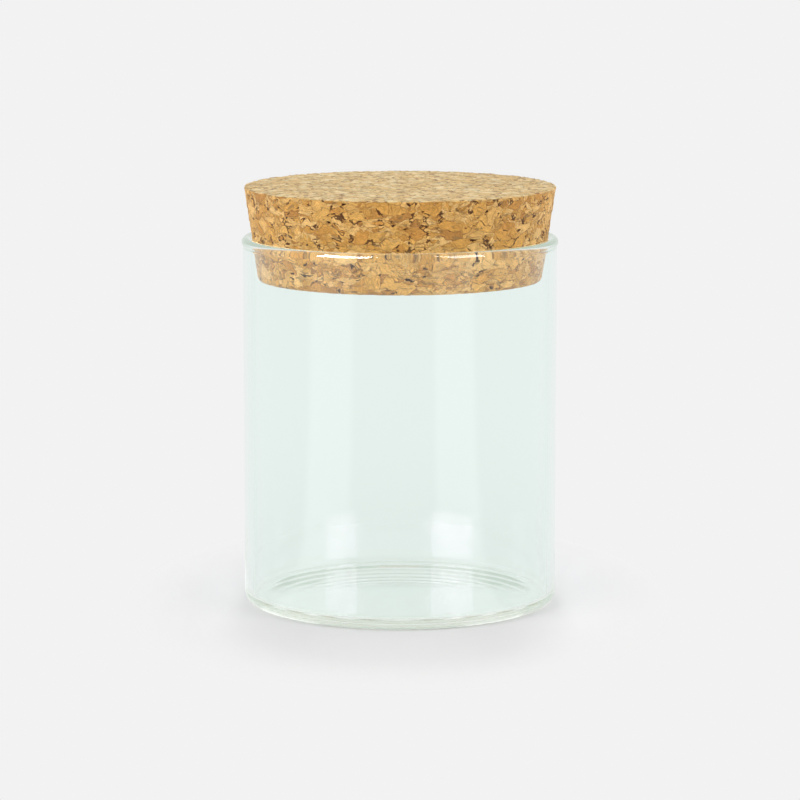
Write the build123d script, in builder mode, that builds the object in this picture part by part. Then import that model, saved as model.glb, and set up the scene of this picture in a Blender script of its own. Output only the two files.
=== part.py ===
"""A small glass storage jar closed by a tapered cork stopper.

The jar is a length of drawn glass tube. Its mouth is melted back into a rounded lip, and its other
end is closed by a flat base with a rounded foot and a shallow push-up, so that it stands on a ring.
The stopper is turned from pressed cork granules. Its taper seats on the inner side of the lip.

Millimetres, +Z up. The origin is in the middle of the foot, on the surface that the jar stands on.
"""

import os
from math import asin, cos, degrees, radians, sin, sqrt, tan

from build123d import *

os.makedirs("parts", exist_ok=True)

# The glass body
BODY_DIAMETER = 65.0
JAR_HEIGHT = 76.4
WALL_THICKNESS = 1.9

# The closed end: a standing ring, and a push-up that keeps the middle off the table
BASE_THICKNESS = 2.0
FOOT_CORNER_RADIUS = 2.2
FLOOR_CORNER_RADIUS = 0.8
STANDING_RING_WIDTH = 2.5
PUSH_UP_HEIGHT = 1.0

# The melted lip swells a little past the wall on the outside, and runs into it in a soft hollow
LIP_SWELL = 0.25
LIP_HOLLOW_RADIUS = 1.5

# The cork stopper
STOPPER_HEIGHT = 19.2
STOPPER_EXPOSED_HEIGHT = 10.5
STOPPER_TAPER_DEGREES = 8.7
STOPPER_TOP_EDGE_RADIUS = 0.35
STOPPER_BOTTOM_EDGE_RADIUS = 0.9
SEAT_CLEARANCE = 0.1

body_radius = BODY_DIAMETER / 2
bore_radius = body_radius - WALL_THICKNESS
foot_flat_radius = body_radius - FOOT_CORNER_RADIUS
push_up_radius = foot_flat_radius - STANDING_RING_WIDTH
floor_flat_radius = bore_radius - FLOOR_CORNER_RADIUS

# The lip is a round bead. Its inner side is flush with the bore.
lip_radius = (WALL_THICKNESS + LIP_SWELL) / 2
lip_centre_radius = bore_radius + lip_radius
lip_centre_height = JAR_HEIGHT - lip_radius

# The hollow under the lip is an arc that touches the wall and the bead, outside both of them
hollow_centre_radius = body_radius + LIP_HOLLOW_RADIUS
hollow_to_lip = LIP_HOLLOW_RADIUS + lip_radius
hollow_drop = sqrt(hollow_to_lip**2 - (hollow_centre_radius - lip_centre_radius) ** 2)
hollow_start_height = lip_centre_height - hollow_drop
lip_start_angle = -degrees(asin(hollow_drop / hollow_to_lip))
lip_sweep = 180 - lip_start_angle

# The jar is one piece of glass, turned about its axis
with BuildPart() as glass_jar:
    with BuildSketch(Plane.XZ):
        with BuildLine():
            push_up = TangentArc(
                (0, PUSH_UP_HEIGHT), (push_up_radius, 0), tangent=(1, 0)
            )
            standing_ring = Line(push_up @ 1, (foot_flat_radius, 0))
            foot_corner = TangentArc(
                standing_ring @ 1,
                (body_radius, FOOT_CORNER_RADIUS),
                tangent=standing_ring % 1,
            )
            outer_wall = Line(foot_corner @ 1, (body_radius, hollow_start_height))
            lip = CenterArc(
                (lip_centre_radius, lip_centre_height),
                lip_radius,
                lip_start_angle,
                lip_sweep,
            )
            hollow = TangentArc(outer_wall @ 1, lip @ 0, tangent=outer_wall % 1)
            bore = Line(lip @ 1, (bore_radius, BASE_THICKNESS + FLOOR_CORNER_RADIUS))
            floor_corner = TangentArc(
                bore @ 1, (floor_flat_radius, BASE_THICKNESS), tangent=bore % 1
            )
            floor = Line(floor_corner @ 1, (0, BASE_THICKNESS))
            Line(floor @ 1, push_up @ 0)
        make_face()
    revolve(axis=Axis.Z)

# The cone of the stopper runs past the inner side of the lip, square to the seat clearance
taper = radians(STOPPER_TAPER_DEGREES)
stopper_top_height = JAR_HEIGHT + STOPPER_EXPOSED_HEIGHT
stopper_bottom_height = stopper_top_height - STOPPER_HEIGHT
seat_above_bottom = lip_centre_height - stopper_bottom_height
cone_to_lip_centre = lip_radius + SEAT_CLEARANCE
stopper_bottom_radius = (
    lip_centre_radius - (cone_to_lip_centre + seat_above_bottom * sin(taper)) / cos(taper)
)
stopper_top_radius = stopper_bottom_radius + STOPPER_HEIGHT * tan(taper)

with BuildPart() as cork_stopper:
    with BuildSketch(Plane.XZ):
        with BuildLine():
            Polyline(
                (0, stopper_bottom_height),
                (stopper_bottom_radius, stopper_bottom_height),
                (stopper_top_radius, stopper_top_height),
                (0, stopper_top_height),
                close=True,
            )
        make_face()
    revolve(axis=Axis.Z)
    fillet(cork_stopper.edges().group_by(Axis.Z)[-1], STOPPER_TOP_EDGE_RADIUS)
    fillet(cork_stopper.edges().group_by(Axis.Z)[0], STOPPER_BOTTOM_EDGE_RADIUS)

glass_jar.part.label = "glass_jar"
export_step(glass_jar.part, "parts/glass_jar.step")

cork_stopper.part.label = "cork_stopper"
export_step(cork_stopper.part, "parts/cork_stopper.step")

print(f"stopper diameters {2 * stopper_bottom_radius:.2f} and {2 * stopper_top_radius:.2f} mm")
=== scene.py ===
import math

import bpy
import numpy as np
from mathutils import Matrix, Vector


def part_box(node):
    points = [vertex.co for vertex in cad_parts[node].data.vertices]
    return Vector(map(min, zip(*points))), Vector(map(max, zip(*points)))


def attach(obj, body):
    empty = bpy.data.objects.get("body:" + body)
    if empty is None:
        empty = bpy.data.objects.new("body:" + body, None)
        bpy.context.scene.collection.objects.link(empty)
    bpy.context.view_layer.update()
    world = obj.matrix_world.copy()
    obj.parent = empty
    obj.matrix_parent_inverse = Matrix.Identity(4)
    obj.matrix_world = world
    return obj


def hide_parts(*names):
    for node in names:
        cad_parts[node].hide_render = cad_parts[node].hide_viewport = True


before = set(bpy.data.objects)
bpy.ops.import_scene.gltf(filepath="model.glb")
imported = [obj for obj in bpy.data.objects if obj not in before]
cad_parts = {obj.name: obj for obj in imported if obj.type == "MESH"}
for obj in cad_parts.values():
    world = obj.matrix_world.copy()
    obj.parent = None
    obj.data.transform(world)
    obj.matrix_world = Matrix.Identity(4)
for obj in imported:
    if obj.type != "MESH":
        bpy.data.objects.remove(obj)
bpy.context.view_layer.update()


# The jar: a length of drawn glass tube, closed by a flat base with a rounded foot and a shallow
# push-up, its mouth melted back into a round lip. The glass is clear with a breath of green, more
# of it in the foot, and its lower half is tinted darker as a painted shade. A ray that turns inside
# the glass too often ends on a painted glow, dark green below and pale green at the lip, which
# draws the rings in the base.
_, jar_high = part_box("glass_jar")
JAR_WALL = 0.0019
LIP_SWELL = 0.00025
LIP_HOLLOW = 0.0015
BASE_THICKNESS = 0.0020
FOOT_CORNER = 0.0022
FLOOR_CORNER = 0.0008
RING_WIDTH = 0.0025
PUSH_UP = 0.0010
JAR_SEGMENTS = 560
BEND_MARGIN = 0.00005
MM_PER_M = 1000
DRAW_STRETCH = (1, 1, 0.05)
DRAW_SCALE = 0.16
DRAW_DEPTH = 0.00002
DRAW_START = (5, 14)
GLASS_TINT = (0.942, 0.9935, 0.9745, 1)
LOW_SHADE_TINT = (0.92, 0.972, 0.952, 1)
EDGE_TINT = (0.83, 0.955, 0.905, 1)
FOOT_TINT = (0.925, 0.985, 0.94, 1)
LOW_SHADE_FADE = (3, 40)
EDGE_TINT_FACING = (0.58, 0.68)
OUTSIDE_FROM, OUTSIDE_TO = 1.2, 0.8
PUSH_UP_TINT_FADE = (1.05, 1.6)
FOOT_TINT_FADE = (2.2, 5)
GLASS_BULK = (0.06, 0.49, 0.0, 1)
GLASS_DENSITY = 0.7
GLASS_IOR = 1.5
TRAPPED_DEPTH = 24
TRAPPED_FOOT_DEPTH = 15
FOOT_TOP = (2.0, 2.4)
LIP_FOOT = (66, 72)
PAINTED_PALE_GLOW = (0.74, 0.86, 0.81, 1)
PAINTED_DARK_GLOW = (0.53, 0.60, 0.51, 1)

jar_radius = jar_high.x - LIP_SWELL
bore_radius = jar_radius - JAR_WALL
lip_radius = (JAR_WALL + LIP_SWELL) / 2
lip_centre = np.array([bore_radius + lip_radius, jar_high.z - lip_radius])


def straight(start, end, steps):
    """Points from start up to, but not at, end. They are evenly spaced, but for one just after the
    start and one just before the end, so that the shading of a bend doesn't run on past it."""
    start, end = np.asarray(start), np.asarray(end)
    margin = BEND_MARGIN / np.linalg.norm(end - start)
    share = np.concatenate([[0, margin], np.arange(1, steps) / steps, [1 - margin]])[:, None]
    return start * (1 - share) + end * share


def arc(centre, radius, start, end, steps):
    """Points on a circle about centre between two angles in degrees, less the last one."""
    turn = np.radians(start + (end - start) * np.arange(steps) / steps)
    return np.asarray(centre) + radius * np.stack([np.cos(turn), np.sin(turn)], axis=1)


def grid_of(profile, segments):
    """Points of a surface of revolution, one row for each point of the profile. The point at row u
    and angle a is (radius(u) cos a, radius(u) sin a, height(u))."""
    angle = 2 * np.pi * np.arange(segments) / segments
    ring = np.stack([np.cos(angle), np.sin(angle)], axis=1)
    grid = np.empty((len(profile), segments, 3))
    grid[..., :2] = profile[:, None, :1] * ring
    grid[..., 2] = profile[:, 1, None]
    return grid


def closed_piece(name, grid, first_pole, last_pole):
    """A closed mesh over a grid that runs anticlockwise along its rows, its first row fanned to
    the lower pole on the axis and its last row to the upper one."""
    rows, segments = grid.shape[:2]
    points = np.vstack([grid.reshape(-1, 3), first_pole, last_pole])
    row, column = np.meshgrid(np.arange(rows - 1), np.arange(segments), indexing="ij")
    here = row * segments + column
    right = row * segments + (column + 1) % segments
    quads = np.stack([here, right, right + segments, here + segments], axis=-1).reshape(-1, 4)
    around = np.arange(segments)
    after = (around + 1) % segments
    first, last = rows * segments, rows * segments + 1
    top = (rows - 1) * segments
    caps = np.vstack([
        np.stack([after, around, np.full(segments, first)], axis=1),
        np.stack([top + around, top + after, np.full(segments, last)], axis=1),
    ])
    mesh = bpy.data.meshes.new(name)
    mesh.from_pydata(points, [], quads.tolist() + caps.tolist())
    mesh.shade_smooth()
    piece = bpy.data.objects.new(name, mesh)
    bpy.context.scene.collection.objects.link(piece)
    return piece


def jar_profile():
    """The section of the glass, from under the base, out and up the wall, over the lip, down the
    bore and across the floor, without its two ends on the axis."""
    foot_flat = jar_radius - FOOT_CORNER
    push_edge = foot_flat - RING_WIDTH
    dome_radius = (push_edge**2 + PUSH_UP**2) / (2 * PUSH_UP)
    dome_turn = math.degrees(math.asin(push_edge / dome_radius))
    hollow_x = jar_radius + LIP_HOLLOW
    hollow_drop = math.sqrt((LIP_HOLLOW + lip_radius) ** 2 - (hollow_x - lip_centre[0]) ** 2)
    lip_start = math.degrees(math.asin(hollow_drop / (LIP_HOLLOW + lip_radius)))
    hollow_centre = (hollow_x, lip_centre[1] - hollow_drop)
    floor_flat = bore_radius - FLOOR_CORNER
    corner_top = BASE_THICKNESS + FLOOR_CORNER
    return np.vstack([
        arc((0, PUSH_UP - dome_radius), dome_radius, 90, 90 - dome_turn, steps=24)[1:],
        straight((push_edge, 0), (foot_flat, 0), steps=4),
        arc((foot_flat, FOOT_CORNER), FOOT_CORNER, -90, 0, steps=32),
        straight((jar_radius, FOOT_CORNER), (jar_radius, hollow_centre[1]), steps=12),
        arc(hollow_centre, LIP_HOLLOW, 180, 180 - lip_start, steps=8),
        arc(lip_centre, lip_radius, -lip_start, 180, steps=32),
        straight((bore_radius, lip_centre[1]), (bore_radius, corner_top), steps=12),
        arc((floor_flat, corner_top), FLOOR_CORNER, 0, -90, steps=24),
        straight((floor_flat, BASE_THICKNESS), (0, BASE_THICKNESS), steps=10),
    ])


class Wire:
    """One output of a shader tree. Sums and products of it add Math nodes, node() adds any other
    node to the same tree, and mix() goes from one colour to another as its value goes from 0
    to 1."""

    def __init__(self, tree, socket=None):
        self.tree, self.socket = tree, socket

    def node(self, kind, settings, values, output=0):
        made = self.tree.nodes.new(kind)
        for name, value in settings.items():
            if name == "stops":
                while len(made.color_ramp.elements) < len(value):
                    made.color_ramp.elements.new(1)
                for stop, (place, colour) in zip(made.color_ramp.elements, value):
                    stop.position, stop.color = place, colour
            else:
                setattr(made, name, value)
        for name, value in values.items():
            if isinstance(value, Wire):
                self.tree.links.new(value.socket, made.inputs[name])
            else:
                made.inputs[name].default_value = value
        return Wire(self.tree, made.outputs[output])

    def sum(self, operation, *others):
        values = dict(enumerate((self, *others)))
        return self.node("ShaderNodeMath", {"operation": operation}, values)

    def __add__(self, other):
        return self.sum("ADD", other)

    def __mul__(self, other):
        return self.sum("MULTIPLY", other)

    def __sub__(self, other):
        return self.sum("SUBTRACT", other)

    def __rsub__(self, other):
        return self * -1 + other

    __radd__ = __add__
    __rmul__ = __mul__

    def length(self):
        """How far a point is from the middle."""
        return self.node("ShaderNodeVectorMath", {"operation": "LENGTH"}, {0: self}, "Value")

    def axis(self, name):
        """The X, Y or Z of a point."""
        return self.node("ShaderNodeSeparateXYZ", {}, {"Vector": self}, name)

    def path(self, name):
        """What the light path says of the ray that looks: its kind, or how often it turned."""
        return self.node("ShaderNodeLightPath", {}, {}, name)

    def above(self, low, high):
        """0 below low, 1 over high, and a smooth slope between them. Of a count, 0 up to low."""
        values = {"Value": self, "From Min": low, "From Max": high}
        return self.node("ShaderNodeMapRange", {"interpolation_type": "SMOOTHSTEP"}, values)

    def mix(self, off, on):
        colours = {"Factor": self, "A": off, "B": on}
        return self.node("ShaderNodeMix", {"data_type": "RGBA"}, colours, "Result")

    def vector(self, operation, other):
        values = {0: self, "Scale" if operation == "SCALE" else 1: other}
        return self.node("ShaderNodeVectorMath", {"operation": operation}, values)

    def noise(self, scale, detail, output="Fac"):
        values = {"Vector": self, "Scale": scale, "Detail": detail}
        return self.node("ShaderNodeTexNoise", {}, values, output)


def material(name):
    """A new material, its principled shader, and the point on the piece in millimetres, which is
    also what the heights and distances of a material are in. Those of shapes are in metres."""
    made = bpy.data.materials.new(name)
    made.use_nodes = True
    start = Wire(made.node_tree)
    place = start.node("ShaderNodeTexCoord", {}, {}, "Object").vector("SCALE", MM_PER_M)
    return made, made.node_tree.nodes["Principled BSDF"], place


jar_grid = grid_of(jar_profile(), JAR_SEGMENTS)
jar = closed_piece("jar_glass", jar_grid, (0, 0, PUSH_UP), (0, 0, BASE_THICKNESS))

glass, shader, place = material("pale_green_glass")
height = place.axis("Z")
draw_lines = place.vector("MULTIPLY", DRAW_STRETCH).noise(DRAW_SCALE, 1) * height.above(*DRAW_START)
bump = {"Strength": 1.0, "Distance": DRAW_DEPTH, "Height": draw_lines}
tree = glass.node_tree
tree.links.new(place.node("ShaderNodeBump", {}, bump, "Normal").socket, shader.inputs["Normal"])
facing = place.node("ShaderNodeLayerWeight", {}, {"Blend": 0.5}, "Facing")
edge = jar_radius * MM_PER_M
outer = place.vector("MULTIPLY", (1, 1, 0)).length().above(edge - OUTSIDE_FROM, edge - OUTSIDE_TO)
# Painted shade: the glass is tinted darker towards the bottom, from 40 mm high down to 3 mm.
tint = height.above(*LOW_SHADE_FADE).mix(LOW_SHADE_TINT, GLASS_TINT)
tint = (facing.above(*EDGE_TINT_FACING) * outer).mix(tint, EDGE_TINT)
clear = height.above(*PUSH_UP_TINT_FADE) * (1 - outer) + height.above(*FOOT_TINT_FADE) * outer
tint = clear.mix(FOOT_TINT, tint)
tree.links.new(tint.socket, shader.inputs["Base Color"])
shader.inputs["Transmission Weight"].default_value = 1
shader.inputs["Roughness"].default_value = 0
shader.inputs["IOR"].default_value = GLASS_IOR
bulk = tree.nodes.new("ShaderNodeVolumeAbsorption")
bulk.inputs["Color"].default_value = GLASS_BULK
bulk.inputs["Density"].default_value = GLASS_DENSITY
tree.links.new(bulk.outputs["Volume"], tree.nodes["Material Output"].inputs["Volume"])
# Painted glow: a ray that has turned inside the glass more often than a set depth ends on a flat
# emission colour instead of what it would see, dark green up to just under the lip and pale green
# at the lip.
foot = outer * (1 - height.above(*FOOT_TOP))
limit = TRAPPED_DEPTH - foot * (TRAPPED_DEPTH - TRAPPED_FOOT_DEPTH)
trapped = place.path("Ray Depth").sum("GREATER_THAN", limit)
painted_dark_glow = place.node("ShaderNodeEmission", {}, {"Color": PAINTED_DARK_GLOW})
painted_pale_glow = place.node("ShaderNodeEmission", {}, {"Color": PAINTED_PALE_GLOW})
painted_glows = {"Fac": height.above(*LIP_FOOT), 1: painted_dark_glow, 2: painted_pale_glow}
painted_glows = place.node("ShaderNodeMixShader", {}, painted_glows)
blend = place.node("ShaderNodeMixShader", {}, {"Fac": trapped, 2: painted_glows})
tree.links.new(shader.outputs["BSDF"], blend.socket.node.inputs[1])
tree.links.new(blend.socket, tree.nodes["Material Output"].inputs["Surface"])
glass.cycles.emission_sampling = "NONE"
jar.data.materials.append(glass)
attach(jar, "jar")
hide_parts("glass_jar")


# The stopper: a tapered disc cut from a block of cork granules that were glued under pressure, so
# the granules lie flat. Its sides are left as cut, with torn hollows between the granules, painted
# dark as shade. Its seated part, behind the glass lip, is painted paler with fainter cracks, a
# painted veil of light. Its two faces are sanded, and the top is painted paler, as lit from above.
stopper_low, stopper_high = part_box("cork_stopper")
STOPPER_TAPER = 8.7
TOP_EDGE = 0.00035
BOTTOM_EDGE = 0.0009
STOPPER_SEGMENTS = 432
FLATTENED = 1.9
GRANULE_SIZE = 3.4
CRUMB_SIZE = 1.25
GRANULE_DROP = 0.00010
FACE_DROP = 0.4
SEAM_DEPTH = 0.00012
SEAM_WIDTH = 0.09
FACE_SEAMS = 0.5
HOLLOW_SHARE = 0.01
FACE_HOLLOWS = 0.6
HOLLOW_DEPTH = 0.00055
HOLLOW_SLOPE = 0.16
CHIP_DEPTH = 0.0003
CHIP_REACH = 0.0006
CHIPPED = (0.45, 0.9)
WARP_SIZE = 4.5
WARP = 0.9
WAVES = 24
WAVE_SPREAD = 7
LATTICE = 32
CORK_SEED = 11
DRAWN_CHUNK = 3.5
DRAWN_CRUMB = 1.6
DRAWN_DUST = 0.8
CRUMBLED = (0.50, 0.51)
FAR_AWAY = 9
FULL_TURN = 6.28
GRAIN_STRETCH = (0.28, 1.7, 1.7)
GRAIN_LINE = (134, 86, 42)
BARK = (132, 104, 64)
BARKED = (0.955, 0.96)
SEAM_LINE = (118, 72, 30)
CRACK = (72, 38, 16)
VEIL_BELOW, VEIL_ABOVE = 1.5, 1.0
VEIL_GAIN = (1.165, 1.095, 1.09)
SANDED_LIT_FROM, SANDED_LIT_TO = 0.35, 0.15
LIT_TOP_COLOUR = (209, 184, 130)
DASH = (112, 70, 32)
DASHED = (0.81, 0.82)
PALE = (238, 228, 184)
PALED = (0.72, 0.73)
HOLE_AND_HOLLOW_SHADE = (74, 42, 18)
HOLED = (0.988, 0.99)
CORK_RELIEF = 0.00012
HUES = [
    (0.00, (226, 184, 118)), (0.25, (216, 170, 100)), (0.55, (208, 159, 84)),
    (0.78, (199, 147, 72)), (0.92, (190, 136, 66)), (1.00, (164, 116, 60)),
]
FIBRE_DARK, FIBRE_PALE = 0.70, 1.20
DRIFT_DARK, DRIFT_PALE = 0.90, 1.08


def stopper_profile():
    """The section of the stopper and its outward normals, from under it, round its lower edge, up
    its tapered side, round its upper edge and in across its top, less its ends on the axis."""
    lean = math.radians(STOPPER_TAPER)
    side_normal = -STOPPER_TAPER
    top_centre = (stopper_high.x - TOP_EDGE, stopper_high.z - TOP_EDGE)
    top_tangent = np.array(top_centre) + TOP_EDGE * np.array([math.cos(lean), -math.sin(lean)])
    bottom_height = stopper_low.z + BOTTOM_EDGE * (1 - math.sin(lean))
    bottom_x = top_tangent[0] - (top_tangent[1] - bottom_height) * math.tan(lean)
    bottom_tangent = np.array([bottom_x, bottom_height])
    bottom_centre = bottom_tangent - BOTTOM_EDGE * np.array([math.cos(lean), -math.sin(lean)])
    parts = [
        (straight((0, stopper_low.z), (bottom_centre[0], stopper_low.z), steps=46)[1:], (-90, -90)),
        (arc(bottom_centre, BOTTOM_EDGE, -90, side_normal, steps=8), (-90, side_normal)),
        (straight(bottom_tangent, top_tangent, steps=78), (side_normal, side_normal)),
        (arc(top_centre, TOP_EDGE, side_normal, 90, steps=6), (side_normal, 90)),
        (straight((top_centre[0], stopper_high.z), (0, stopper_high.z), steps=62), (90, 90)),
    ]
    points = np.vstack([part for part, _ in parts])
    turn = np.radians(np.concatenate([np.linspace(*ends, len(part), endpoint=False)
                                      for part, ends in parts]))
    return points, np.stack([np.cos(turn), np.sin(turn)], axis=1)


def swell(points, size, seed):
    """A smooth random field from -1 to 1: the sum of plane waves of about one wavelength, size,
    in random directions, each a sine of the point's distance along its direction."""
    draw = np.random.default_rng(seed)
    direction = draw.normal(size=(WAVES, 3))
    direction *= 2 * np.pi / size / np.linalg.norm(direction, axis=1, keepdims=True)
    direction *= draw.uniform(0.6, 1.5, (WAVES, 1))
    start = draw.uniform(0, 2 * np.pi, WAVES)
    return np.sin(points @ direction.T + start).sum(axis=-1) / WAVE_SPREAD


def granules(points, size, seed):
    """For each point, the distance to the seam of the granule that it lies in, in parts of size,
    and that granule's own random number. The granules are the cells round random centres, one to
    each box of a lattice, and a seam is where the nearest and second nearest are as far."""
    table = np.random.default_rng(seed).random((LATTICE, LATTICE, LATTICE, 4))
    place = points / size
    box = np.floor(place).astype(int)
    nearest = np.full(len(points), np.inf)
    second = nearest
    number = np.zeros(len(points))
    for step in np.ndindex(3, 3, 3):
        cell = box + np.array(step) - 1
        draw = table[tuple((cell % LATTICE).T)]
        reach = np.linalg.norm(place - cell - draw[:, :3], axis=1)
        closer = reach < nearest
        second = np.where(closer, nearest, np.minimum(second, reach))
        number = np.where(closer, draw[:, 3], number)
        nearest = np.where(closer, reach, nearest)
    return (second - nearest) / 2, number


def ramp(value, low, high):
    """0 below low, 1 over high, and a smooth slope between them."""
    share = np.clip((value - low) / (high - low), 0, 1)
    return share * share * (3 - 2 * share)


profile, normals = stopper_profile()
stopper_grid = grid_of(profile, STOPPER_SEGMENTS)
inward = -grid_of(normals, STOPPER_SEGMENTS).reshape(-1, 3)
spot = stopper_grid.reshape(-1, 3) * MM_PER_M
warp = np.stack([swell(spot, WARP_SIZE, CORK_SEED + axis) for axis in range(3)], axis=1)
flat = (spot + WARP * warp) * (1, 1, FLATTENED)
seam, number = granules(flat, GRANULE_SIZE, CORK_SEED + 4)
crumb_seam, crumb = granules(flat, CRUMB_SIZE, CORK_SEED + 5)
faces = np.abs(inward[:, 2]) > 0.9
torn = crumb < HOLLOW_SHARE * np.where(faces, FACE_HOLLOWS, 1)
torn = torn * ramp(crumb_seam, 0.0, HOLLOW_SLOPE)
radius = np.hypot(spot[:, 0], spot[:, 1]) / MM_PER_M
edge = np.exp(-((stopper_grid.reshape(-1, 3)[:, 2] - stopper_high.z) / CHIP_REACH) ** 2)
edge *= np.exp(-((radius - stopper_high.x) / CHIP_REACH) ** 2)
depth = GRANULE_DROP * number * np.where(faces, FACE_DROP, 1)
depth += SEAM_DEPTH * (1 - ramp(seam, 0.0, SEAM_WIDTH)) * np.where(faces, FACE_SEAMS, 1)
depth += HOLLOW_DEPTH * torn + CHIP_DEPTH * edge * ramp(crumb, *CHIPPED)
stopper_grid += (inward * depth[:, None]).reshape(stopper_grid.shape)
stopper = closed_piece("cork_stopper_body", stopper_grid,
                       (0, 0, stopper_low.z), (0, 0, stopper_high.z))
hollow = stopper.data.attributes.new("hollow", "FLOAT", "POINT")
hollow.data.foreach_set("value", np.append(torn, [0, 0]))


def paint(red, green, blue):
    """A colour as the shader's numbers, from how it looks on a screen, 0 to 255."""
    values = np.array([red, green, blue]) / 255
    return (*np.where(values < 0.04045, values / 12.92, ((values + 0.055) / 1.055) ** 2.4), 1)


cork, shader, place = material("pressed_cork")
half = (0.5, 0.5, 0.5)


def stray(scale, detail, reach):
    """A step in a random direction, half of reach millimetres long at most."""
    return place.noise(scale, detail, "Color").vector("SUBTRACT", half).vector("SCALE", reach)


smooth = place.vector("ADD", stray(0.17, 1, 4.5)).vector("ADD", stray(0.6, 1, 1.3))
smooth = smooth.vector("MULTIPLY", (1, 1, FLATTENED))
bent = smooth.vector("ADD", stray(2.4, 2, 0.45))


def cells(size, feature, output):
    """Granules of a size in millimetres: each one's own colour, or the way to its seam."""
    values = {"Vector": bent, "Scale": 1 / size, "Randomness": 1.0}
    return bent.node("ShaderNodeTexVoronoi", {"feature": feature}, values, output)


def channel(colour, name):
    """One channel of a colour."""
    return colour.node("ShaderNodeSeparateColor", {}, {"Color": colour}, name)


chunk = cells(DRAWN_CHUNK, "F1", "Color")
crumbs = cells(DRAWN_CRUMB, "F1", "Color")
dust = cells(DRAWN_DUST, "F1", "Color")
chunk_gap = cells(DRAWN_CHUNK, "DISTANCE_TO_EDGE", "Distance") * DRAWN_CHUNK
crumb_gap = cells(DRAWN_CRUMB, "DISTANCE_TO_EDGE", "Distance") * DRAWN_CRUMB
split = channel(chunk, "Blue").above(*CRUMBLED)
lot = split.mix(chunk, crumbs)
pick = channel(lot, "Red")
turn = channel(lot, "Green")
gap = chunk_gap.sum("MINIMUM", crumb_gap + (1 - split) * FAR_AWAY)

stops = [(share, paint(*hue)) for share, hue in HUES]
colour = pick.node("ShaderNodeValToRGB", {"stops": stops}, {"Fac": pick}, "Color")
grain = place.node(
    "ShaderNodeVectorRotate", {"rotation_type": "AXIS_ANGLE"},
    {"Vector": smooth, "Axis": lot.vector("SUBTRACT", half), "Angle": turn * FULL_TURN})
fibre = grain.vector("MULTIPLY", GRAIN_STRETCH).noise(2.4, 3)
dark, light = colour.vector("SCALE", FIBRE_DARK), colour.vector("SCALE", FIBRE_PALE)
colour = fibre.above(0.30, 0.70).mix(dark, light)
dark, light = colour.vector("SCALE", DRIFT_DARK), colour.vector("SCALE", DRIFT_PALE)
colour = place.noise(0.5, 2).above(0.35, 0.65).mix(dark, light)
wave = {"Vector": grain, "Scale": 0.22, "Distortion": 5.0, "Detail": 2.0, "Detail Scale": 1.0}
line = grain.node("ShaderNodeTexWave", {"bands_direction": "Y"}, wave, "Fac").above(0.92, 0.99)
line = line * turn.above(0.55, 0.65) * place.noise(0.7, 1).above(0.45, 0.58)
colour = (line * 0.6).mix(colour, paint(*GRAIN_LINE))
bark = channel(dust, "Green").above(*BARKED)
colour = (bark * 0.7).mix(colour, paint(*BARK))
height = place.axis("Z")
rim, face = jar_high.z * MM_PER_M, stopper_high.z * MM_PER_M
# Painted light: the side behind the glass lip is painted paler and its cracks fainter, a painted
# veil of the glass's reflections.
veiled_behind_glass = 1 - height.above(rim - VEIL_BELOW, rim + VEIL_ABOVE)
sanded_lit_top = height.above(face - SANDED_LIT_FROM, face - SANDED_LIT_TO)
outline = (1 - gap.above(0.01, 0.11)) * place.noise(0.6, 2).above(0.42, 0.56)
colour = (outline * 0.6).mix(colour, paint(*SEAM_LINE))
crack = (1 - gap.above(0.05, 0.26)) * place.noise(0.5, 2).above(0.565, 0.605)
colour = (crack * (0.95 - veiled_behind_glass * 0.4)).mix(colour, paint(*CRACK))
colour = veiled_behind_glass.mix(colour, colour.vector("MULTIPLY", VEIL_GAIN))
# Painted light: the sanded top is painted paler, as lit from above; its dashes, pale crumbs and
# fewer holes are its own texture.
colour = (sanded_lit_top * 0.6).mix(colour, paint(*LIT_TOP_COLOUR))
dash = channel(dust, "Blue").above(*DASHED) * fibre.above(0.3, 0.45)
colour = (dash * (sanded_lit_top * 0.75 + 0.05)).mix(colour, paint(*DASH))
pale = channel(crumbs, "Green").above(*PALED) * sanded_lit_top
colour = (pale * 0.4).mix(colour, paint(*PALE))
torn_edge = place.noise(2.6, 1) * 0.9 - 0.45
# Painted shade: the torn hollows of the mesh are painted in the dark colour of the cork's holes;
# the scattered holes from the dust cells are the cork's own.
shaded_hollow = place.node("ShaderNodeAttribute", {"attribute_name": "hollow"}, {}, "Fac")
shaded_hollow = (shaded_hollow + torn_edge).above(0.42, 0.56)
hole = channel(dust, "Red").above(*HOLED) * (1 - sanded_lit_top * 0.5)
colour = shaded_hollow.sum("MAXIMUM", hole).mix(colour, paint(*HOLE_AND_HOLLOW_SHADE))
rough = fibre * 0.1 + 0.85
lift = fibre * 0.5 + gap.above(0.0, 0.25) + place.noise(5.0, 2) * 0.4
bump = {"Strength": 0.9, "Distance": CORK_RELIEF, "Height": lift}
tree = cork.node_tree
tree.links.new(colour.socket, shader.inputs["Base Color"])
tree.links.new(rough.socket, shader.inputs["Roughness"])
tree.links.new(place.node("ShaderNodeBump", {}, bump, "Normal").socket, shader.inputs["Normal"])
shader.inputs["Specular IOR Level"].default_value = 0.12
shader.inputs["Sheen Weight"].default_value = 0.12
shader.inputs["Sheen Roughness"].default_value = 0.6
stopper.data.materials.append(cork)
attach(stopper, "stopper")
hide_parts("cork_stopper")


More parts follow.
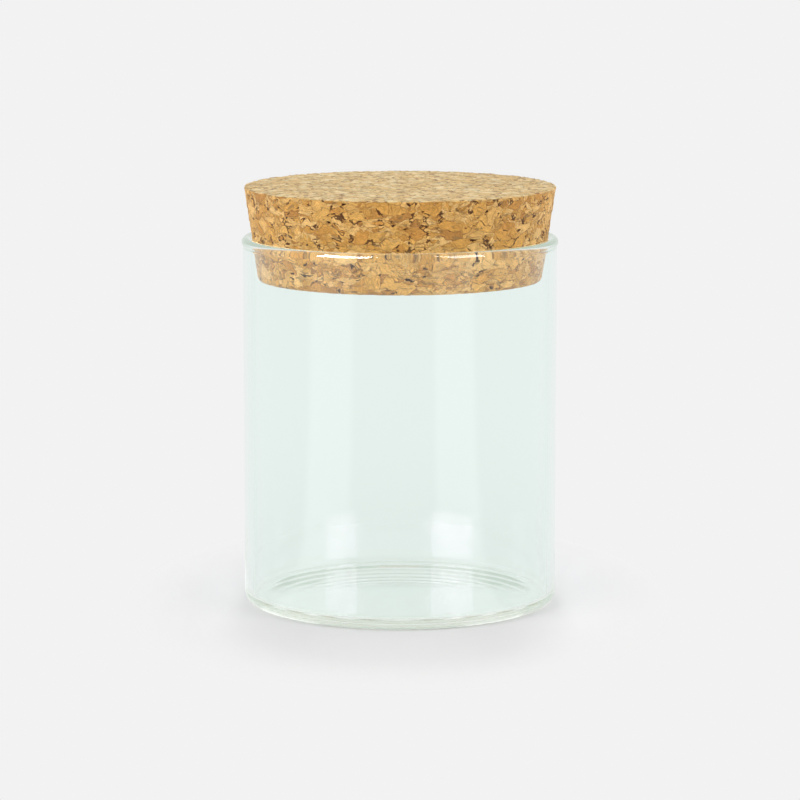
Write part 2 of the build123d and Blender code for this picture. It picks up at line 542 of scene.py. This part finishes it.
# The table: a white sheet that carries on past the camera and behind the jar. The soft shadow round
# the jar's foot is partly cast by the lamps and partly a painted shadow, and the grey is painted
# darker in front, where the lamps light it more. Glass sees it as bright as it looks, and the wall
# mirrors in it painted pools of light, where the two front softboxes would light the sheet.
BACKGROUND = (0.888, 0.888, 0.888, 1)
TABLE_REACH = 3.0
TABLE_DROP = 0.00005
SHADOW_KEPT = 0.95
SHADOW_IN_GLASS = 0.15
SHADOW_EDGE = (55, 85)
SHADOW_SQUEEZE = (1.5, 1, 1)
NEAR_GREY = (238, 238, 241)
FAR_GREY = (223, 223, 224)
GREY_FADE = (-10, 80)
SHADE = 0.165
SHADE_CENTRE = -1
SHADE_SIDES = (18, 38)
SHADE_BACK = (-70, 30)
SHADE_FRONT = (20, 92)
LEFT_SHADE = 0.05
LEFT_SHADE_FROM = (20, 38)
LEFT_PAINTED_POOL = ((-70, -62), (-37, -30))
RIGHT_PAINTED_POOL = ((21, 27), (50, 57))

corners = TABLE_REACH * np.array([[-1, -1, 0], [1, -1, 0], [1, 1, 0], [-1, 1, 0]])
sheet = bpy.data.meshes.new("table_top")
sheet.from_pydata(corners - (0, 0, TABLE_DROP), [], [(0, 1, 2, 3)])
table = bpy.data.objects.new("table_top", sheet)
bpy.context.scene.collection.objects.link(table)
white, shader, place = material("white_table")
shader.inputs["Roughness"].default_value = 1
shader.inputs["Specular IOR Level"].default_value = 0
across = place.axis("X")
near = place.axis("Y") * -1
side = across.sum("ARCTAN2", near) * math.degrees(1)


def between(value, rise, fall):
    """1 from a rise to a fall, 0 beyond them, and smooth slopes where they are."""
    return value.above(*rise) * (1 - value.above(*fall))


# Painted pools of light: brighter patches of the sheet where the two front softboxes would light
# it, shown only to rays mirrored by the glass.
painted_pools = between(side, *LEFT_PAINTED_POOL) + between(side, *RIGHT_PAINTED_POOL)
# Painted shadow: the grey is darkened round the jar's foot, most in front and towards the left, on
# top of the shadow that the lamps cast.
beside = 1 - (across - SHADE_CENTRE).sum("ABSOLUTE").above(*SHADE_SIDES)
shade = between(near, SHADE_BACK, SHADE_FRONT) * beside * SHADE
shade = shade + (across * -1).above(*LEFT_SHADE_FROM) * LEFT_SHADE
# Painted shade: the grey is darker in front, where the front softboxes light the sheet more, which
# keeps it looking even.
lit = near.above(*GREY_FADE).mix(paint(*NEAR_GREY), paint(*FAR_GREY))
lit = shade.mix(lit, (0, 0, 0, 1))
seen = place.path("Is Camera Ray") * (SHADOW_KEPT - SHADOW_IN_GLASS) + SHADOW_IN_GLASS
kept = seen * (1 - place.vector("MULTIPLY", SHADOW_SQUEEZE).length().above(*SHADOW_EDGE))
mirrored = place.path("Glossy Depth").above(0, 1)
inside = place.path("Transmission Depth").above(0, 1)
glow = (mirrored * (1 - inside) * painted_pools + 1) * BACKGROUND[0]
glow = place.node("ShaderNodeEmission", {}, {"Color": glow})
tree = white.node_tree
tree.links.new(lit.socket, shader.inputs["Base Color"])
blend = place.node("ShaderNodeMixShader", {}, {"Fac": kept, 1: glow})
tree.links.new(shader.outputs["BSDF"], blend.socket.node.inputs[2])
tree.links.new(blend.socket, tree.nodes["Material Output"].inputs["Surface"])
sheet.materials.append(white)


# The studio: a white tent, brighter at its two sides, a long strip softbox overhead that lies
# front to back, and two upright softboxes in front, left and right of the camera. The glass
# mirrors only these two: bright on the lip, burnt out to white inside, and not in the foot.
TENT_SIDES = 2.1
MIRRORED_LIGHT = (1.45, 0.98, 1.35)
world = bpy.data.worlds.new("tent")
bpy.context.scene.world = world
world.use_nodes = True
tent = Wire(world.node_tree)
background = world.node_tree.nodes["Background"]
background.inputs["Color"].default_value = BACKGROUND
lit = tent.path("Is Diffuse Ray")
sideways = tent.node("ShaderNodeTexCoord", {}, {}, "Generated").axis("X")
sideways = sideways * sideways * (TENT_SIDES / BACKGROUND[0])
power = 1 - lit * (1 - sideways)
world.node_tree.links.new(power.socket, background.inputs["Strength"])


def softbox(name, size, power, distance, azimuth, elevation, sparkle=1):
    """A rectangular lamp facing the middle of the jar's base, azimuth degrees round from the front
    to the right, and elevation degrees up. Its mirror image outside on the glass is sparkle times
    as bright. Where light was mirrored twice and crossed four faces, it shows as a strip."""
    lamp = bpy.data.lights.new(name, "AREA")
    lamp.shape = "RECTANGLE"
    lamp.size, lamp.size_y = size
    lamp.energy = power
    lamp.use_nodes = True
    light = Wire(lamp.node_tree)
    turned, through = light.path("Glossy Depth"), light.path("Transmission Depth")
    once, twice = turned.above(0, 1), turned.above(1, 2)
    outside = (1 - through.above(0, 1)) * (1 - light.path("Diffuse Depth").above(0, 1))
    plain = 1 - once + once * outside * sparkle
    shown = (twice * through.above(3, 4)).vector("MULTIPLY", MIRRORED_LIGHT).vector("ADD", plain)
    lamp.node_tree.links.new(shown.socket, lamp.node_tree.nodes["Emission"].inputs["Color"])
    box = bpy.data.objects.new(name, lamp)
    bpy.context.scene.collection.objects.link(box)
    round_, up = math.radians(azimuth), math.radians(elevation)
    flat_distance = distance * math.cos(up)
    box.location = (flat_distance * math.sin(round_), -flat_distance * math.cos(round_),
                    distance * math.sin(up))
    box.rotation_euler = (math.pi / 2 - up, 0, round_)
    box.visible_camera = False
    return box


strip = softbox("overhead_strip", size=(0.09, 1.2), power=4.25, distance=1.2,
                azimuth=0, elevation=90)
strip.visible_glossy = strip.visible_transmission = False
softbox("left_front_box", size=(0.66, 0.85), power=5.0, distance=1.0,
        azimuth=-43.8, elevation=28, sparkle=9)
softbox("right_front_box", size=(0.48, 0.85), power=3.0, distance=1.0,
        azimuth=49.5, elevation=28, sparkle=5)


# The camera: straight in front, looking a little down on the jar. Light is followed through as
# many turns as the base plate of the jar needs.
CAMERA_LENS = 163.6
CAMERA_PLACE = (0, -0.7478, 0.1610)
CAMERA_DOWN = 9.041
LIGHT_TURNS = 40
camera = bpy.data.cameras.new("camera")
camera.lens = CAMERA_LENS
viewer = bpy.data.objects.new("camera", camera)
bpy.context.scene.collection.objects.link(viewer)
viewer.location = CAMERA_PLACE
viewer.rotation_euler = (math.radians(90 - CAMERA_DOWN), 0, 0)
camera.clip_start = 0.01
camera.clip_end = 20
bpy.context.scene.camera = viewer

bpy.context.scene.view_settings.view_transform = "Standard"
for limit in ("max_bounces", "transmission_bounces", "glossy_bounces"):
    setattr(bpy.context.scene.cycles, limit, LIGHT_TURNS)
bpy.context.scene.cycles.blur_glossy = 0
